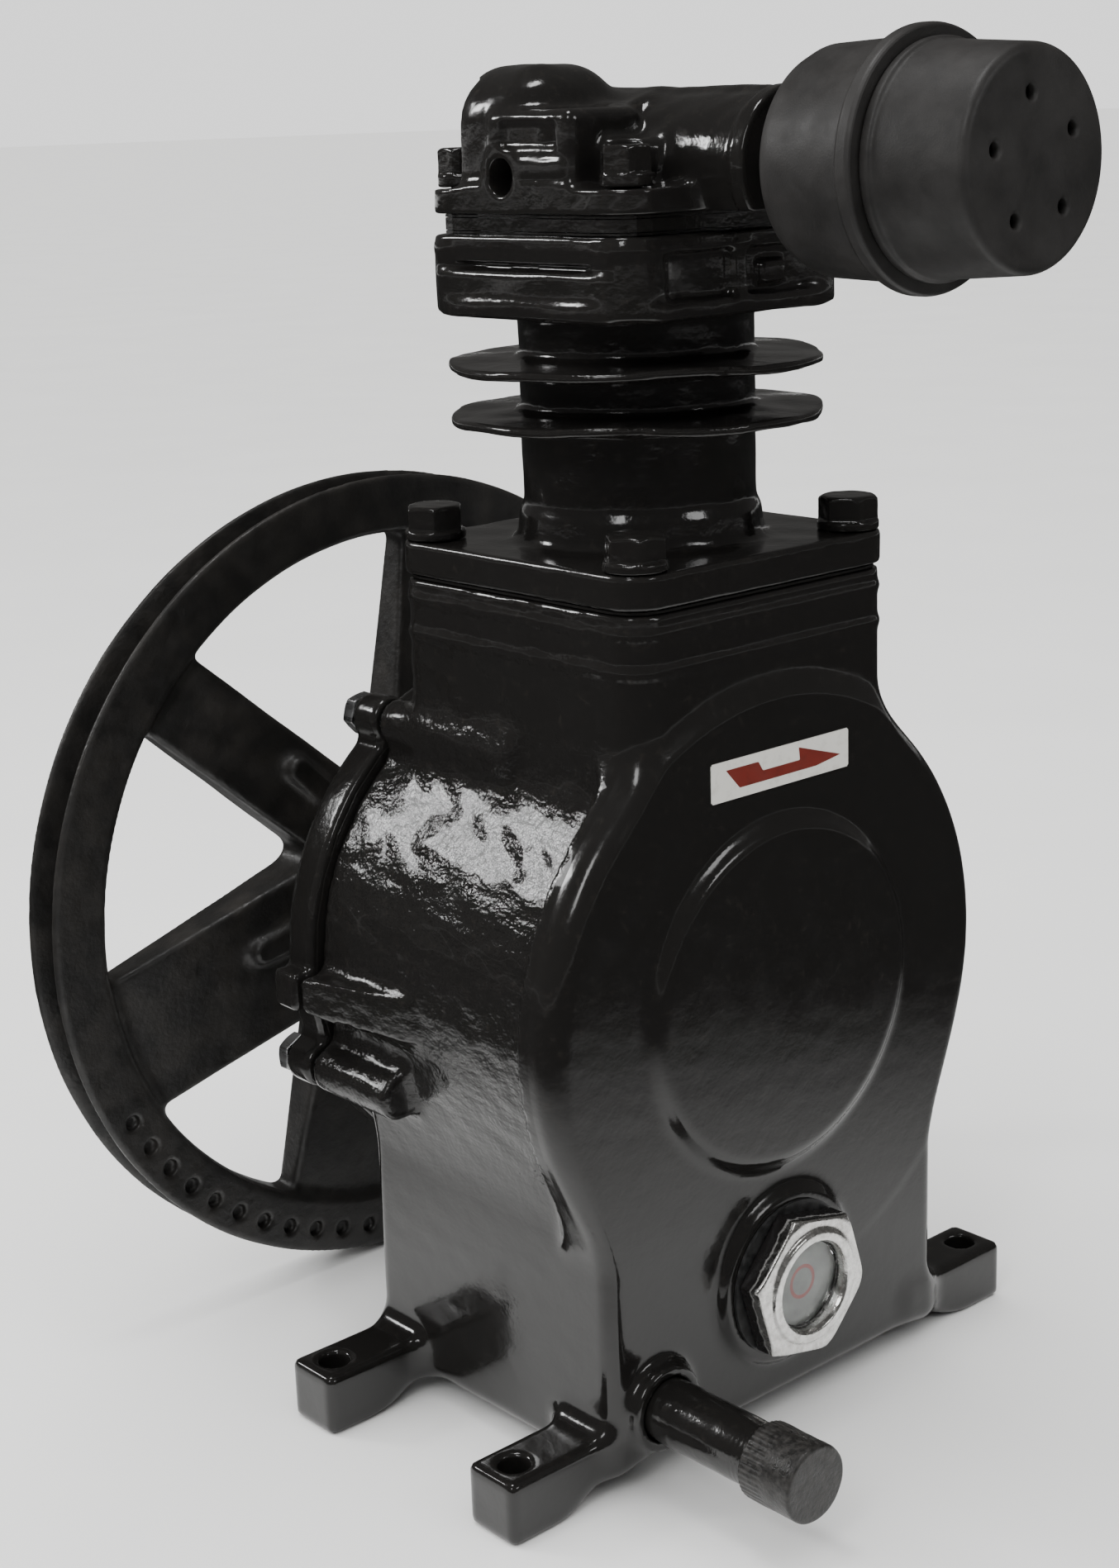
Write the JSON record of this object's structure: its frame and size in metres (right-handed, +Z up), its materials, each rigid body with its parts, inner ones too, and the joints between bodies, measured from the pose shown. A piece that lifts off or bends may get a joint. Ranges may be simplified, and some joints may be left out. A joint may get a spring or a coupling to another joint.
{
  "type": "air compressor pump",
  "caption": "Vertical cast-iron belt-driven air compressor pump with a finned cylinder, a flat-footed sump, an oil sight glass, an intake filter and a spoked flywheel.",
  "frame": {"origin": "centre of the footprint on the plane of the feet, below the crossing of the cylinder axis and the crankshaft axis", "axes": "+Z up along the cylinder axis, +Y along the crankshaft from the closed crankcase face to the flywheel, +X to the right seen from the closed face"},
  "size_m": [0.302, 0.314, 0.4501],
  "materials": {
    "cast_black": "thick gloss black enamel over sand-cast iron",
    "wheel_black": "satin black paint over cast iron, with worn machined edges",
    "filter_plastic": "moulded charcoal plastic",
    "zinc_plate": "bright zinc plate, scuffed",
    "bright_steel": "machined steel",
    "machined_iron": "machined iron",
    "aluminium_alloy": "cast aluminium alloy",
    "gasket_fibre": "fibre gasket sheet",
    "seal_rubber": "black nitrile rubber",
    "filter_foam": "grey filter foam",
    "sight_glass": "clear sight glass",
    "sight_backing": "grey disc with a red ring"
  },
  "bodies": {
    "root": {"base_bolt_1": "cast_black", "base_bolt_2": "cast_black", "base_bolt_3": "cast_black", "base_bolt_4": "cast_black", "base_gasket": "gasket_fibre", "carrier_bolt_1": "bright_steel", "carrier_bolt_2": "bright_steel", "carrier_bolt_3": "bright_steel", "carrier_bolt_4": "bright_steel", "carrier_bolt_5": "bright_steel", "carrier_gasket": "gasket_fibre", "crankcase": "cast_black", "cylinder": "cast_black", "cylinder_head": "cast_black", "discharge_reed": "bright_steel", "discharge_stop": "bright_steel", "drain_cap": "cast_black", "drain_nipple": "cast_black", "filter_base": "filter_plastic", "filter_cap": "filter_plastic", "filter_element": "filter_foam", "front_main_bearing": "bright_steel", "head_bolt_1": "cast_black", "head_bolt_2": "cast_black", "head_bolt_3": "cast_black", "head_bolt_4": "cast_black", "lower_head_gasket": "gasket_fibre", "piston": "aluminium_alloy", "piston_ring_1": "machined_iron", "piston_ring_2": "machined_iron", "piston_ring_3": "machined_iron", "rear_bearing_carrier": "cast_black", "rear_main_bearing": "bright_steel", "shaft_seal": "seal_rubber", "sight_backing": "sight_backing", "sight_gasket": "seal_rubber", "sight_lens": "sight_glass", "sight_nut": "zinc_plate", "stop_screw_1": "bright_steel", "stop_screw_2": "bright_steel", "suction_reed": "bright_steel", "upper_head_gasket": "gasket_fibre", "valve_plate": "bright_steel"},
    "crank": {"crankshaft": "machined_iron", "flywheel": "wheel_black", "flywheel_key": "bright_steel", "flywheel_washer": "bright_steel", "flywheel_bolt": "bright_steel"},
    "rod": {"connecting_rod": "aluminium_alloy", "rod_cap": "aluminium_alloy", "rod_bolt_1": "bright_steel", "rod_bolt_2": "bright_steel", "wrist_pin": "bright_steel"}
  },
  "joints": [
    {"name": "crank_spin", "type": "hinge", "parent": "root", "child": "crank", "pos_m": [0, 0, 0.152], "axis": [0, 1, 0], "continuous": true},
    {"name": "rod_swing", "type": "hinge", "parent": "crank", "child": "rod", "pos_m": [0, 0, 0.171], "axis": [0, 1, 0], "continuous": true}
  ],
  "couplings": [
    {"joint": "rod_swing", "follows": "crank_spin", "ratio": -1}
  ]
}
